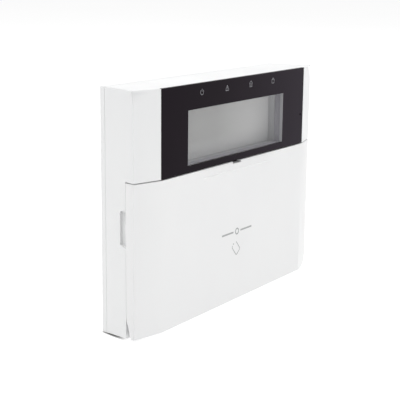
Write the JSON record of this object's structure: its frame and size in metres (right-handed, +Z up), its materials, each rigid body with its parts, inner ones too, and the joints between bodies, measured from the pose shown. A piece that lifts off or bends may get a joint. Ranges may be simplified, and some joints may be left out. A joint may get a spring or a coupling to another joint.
{
  "type": "alarm keypad panel",
  "caption": "Wall-mounted alarm keypad with a display panel above and a flip-down door over sprung keys.",
  "frame": {"origin": "centre of the back face, which lies on the wall", "axes": "+X to the right seen from the front, +Y out of the back into the wall, +Z up; the front faces -Y"},
  "size_m": [0.155, 0.029, 0.114],
  "materials": {
    "case_white": "satin",
    "door_white": "satin",
    "deck_grey": "satin",
    "panel_black": "polished",
    "window_clear": "clear",
    "surround_grey": "matte",
    "frame_steel": "brushed",
    "lcd_grey": "gloss",
    "diffuser_white": "matte",
    "ribbon_amber": "matte",
    "black_plastic": "matte",
    "board_green": "satin",
    "screw_steel": "plated",
    "silicone_grey": "matte",
    "key_rubber": "matte",
    "aerial_copper": "enamelled",
    "terminal_green": "satin"
  },
  "bodies": {
    "case": {"wall_plate": "case_white", "front_housing": "case_white", "keypad_bezel": "deck_grey", "display_panel": "panel_black", "display_window": "window_clear", "window_surround": "surround_grey", "lcd_frame": "frame_steel", "lcd_glass": "lcd_grey", "lcd_backlight": "diffuser_white", "lcd_ribbon": "ribbon_amber", "ribbon_socket": "black_plastic", "main_board": "board_green", "board_screws": "screw_steel", "board_chips": "black_plastic", "status_leds": "diffuser_white", "light_pipes": "window_clear", "key_mat": "silicone_grey", "reader_aerial": "aerial_copper", "sounder_can": "black_plastic", "terminal_block": "terminal_green", "terminal_screws": "screw_steel", "tamper_switch": "black_plastic", "tamper_spring": "screw_steel", "case_screw": "screw_steel", "door_catch": "black_plastic"},
    "door": {"door_cover": "door_white", "hinge_pins": "screw_steel"},
    "tamper": {"tamper_plunger": "case_white"},
    "key_1_body": {"key_1": "key_rubber"},
    "key_2_body": {"key_2": "key_rubber"},
    "key_3_body": {"key_3": "key_rubber"},
    "key_away_body": {"key_away": "key_rubber"},
    "key_4_body": {"key_4": "key_rubber"},
    "key_5_body": {"key_5": "key_rubber"},
    "key_6_body": {"key_6": "key_rubber"},
    "key_home_body": {"key_home": "key_rubber"},
    "key_7_body": {"key_7": "key_rubber"},
    "key_8_body": {"key_8": "key_rubber"},
    "key_9_body": {"key_9": "key_rubber"},
    "key_disarm_body": {"key_disarm": "key_rubber"},
    "key_star_body": {"key_star": "key_rubber"},
    "key_0_body": {"key_0": "key_rubber"},
    "key_hash_body": {"key_hash": "key_rubber"},
    "key_alert_body": {"key_alert": "key_rubber"}
  },
  "joints": [
    {"name": "door_hinge", "type": "hinge", "parent": "case", "child": "door", "pos_m": [0, -0.0234, -0.0503], "axis": [1, 0, 0], "range_deg": [0, 90]},
    {"name": "tamper_press", "type": "slide", "parent": "case", "child": "tamper", "axis": [0, 1, 0], "range_m": [-0.0015, 0], "stiffness_N_per_m": 300, "deforming": ["tamper_spring"]},
    {"name": "key_1_press", "type": "slide", "parent": "case", "child": "key_1_body", "axis": [0, 1, 0], "range_m": [0, 0.001], "stiffness_N_per_m": 400},
    {"name": "key_2_press", "type": "slide", "parent": "case", "child": "key_2_body", "axis": [0, 1, 0], "range_m": [0, 0.001], "stiffness_N_per_m": 400},
    {"name": "key_3_press", "type": "slide", "parent": "case", "child": "key_3_body", "axis": [0, 1, 0], "range_m": [0, 0.001], "stiffness_N_per_m": 400},
    {"name": "key_away_press", "type": "slide", "parent": "case", "child": "key_away_body", "axis": [0, 1, 0], "range_m": [0, 0.001], "stiffness_N_per_m": 400},
    {"name": "key_4_press", "type": "slide", "parent": "case", "child": "key_4_body", "axis": [0, 1, 0], "range_m": [0, 0.001], "stiffness_N_per_m": 400},
    {"name": "key_5_press", "type": "slide", "parent": "case", "child": "key_5_body", "axis": [0, 1, 0], "range_m": [0, 0.001], "stiffness_N_per_m": 400},
    {"name": "key_6_press", "type": "slide", "parent": "case", "child": "key_6_body", "axis": [0, 1, 0], "range_m": [0, 0.001], "stiffness_N_per_m": 400},
    {"name": "key_home_press", "type": "slide", "parent": "case", "child": "key_home_body", "axis": [0, 1, 0], "range_m": [0, 0.001], "stiffness_N_per_m": 400},
    {"name": "key_7_press", "type": "slide", "parent": "case", "child": "key_7_body", "axis": [0, 1, 0], "range_m": [0, 0.001], "stiffness_N_per_m": 400},
    {"name": "key_8_press", "type": "slide", "parent": "case", "child": "key_8_body", "axis": [0, 1, 0], "range_m": [0, 0.001], "stiffness_N_per_m": 400},
    {"name": "key_9_press", "type": "slide", "parent": "case", "child": "key_9_body", "axis": [0, 1, 0], "range_m": [0, 0.001], "stiffness_N_per_m": 400},
    {"name": "key_disarm_press", "type": "slide", "parent": "case", "child": "key_disarm_body", "axis": [0, 1, 0], "range_m": [0, 0.001], "stiffness_N_per_m": 400},
    {"name": "key_star_press", "type": "slide", "parent": "case", "child": "key_star_body", "axis": [0, 1, 0], "range_m": [0, 0.001], "stiffness_N_per_m": 400},
    {"name": "key_0_press", "type": "slide", "parent": "case", "child": "key_0_body", "axis": [0, 1, 0], "range_m": [0, 0.001], "stiffness_N_per_m": 400},
    {"name": "key_hash_press", "type": "slide", "parent": "case", "child": "key_hash_body", "axis": [0, 1, 0], "range_m": [0, 0.001], "stiffness_N_per_m": 400},
    {"name": "key_alert_press", "type": "slide", "parent": "case", "child": "key_alert_body", "axis": [0, 1, 0], "range_m": [0, 0.001], "stiffness_N_per_m": 400}
  ]
}
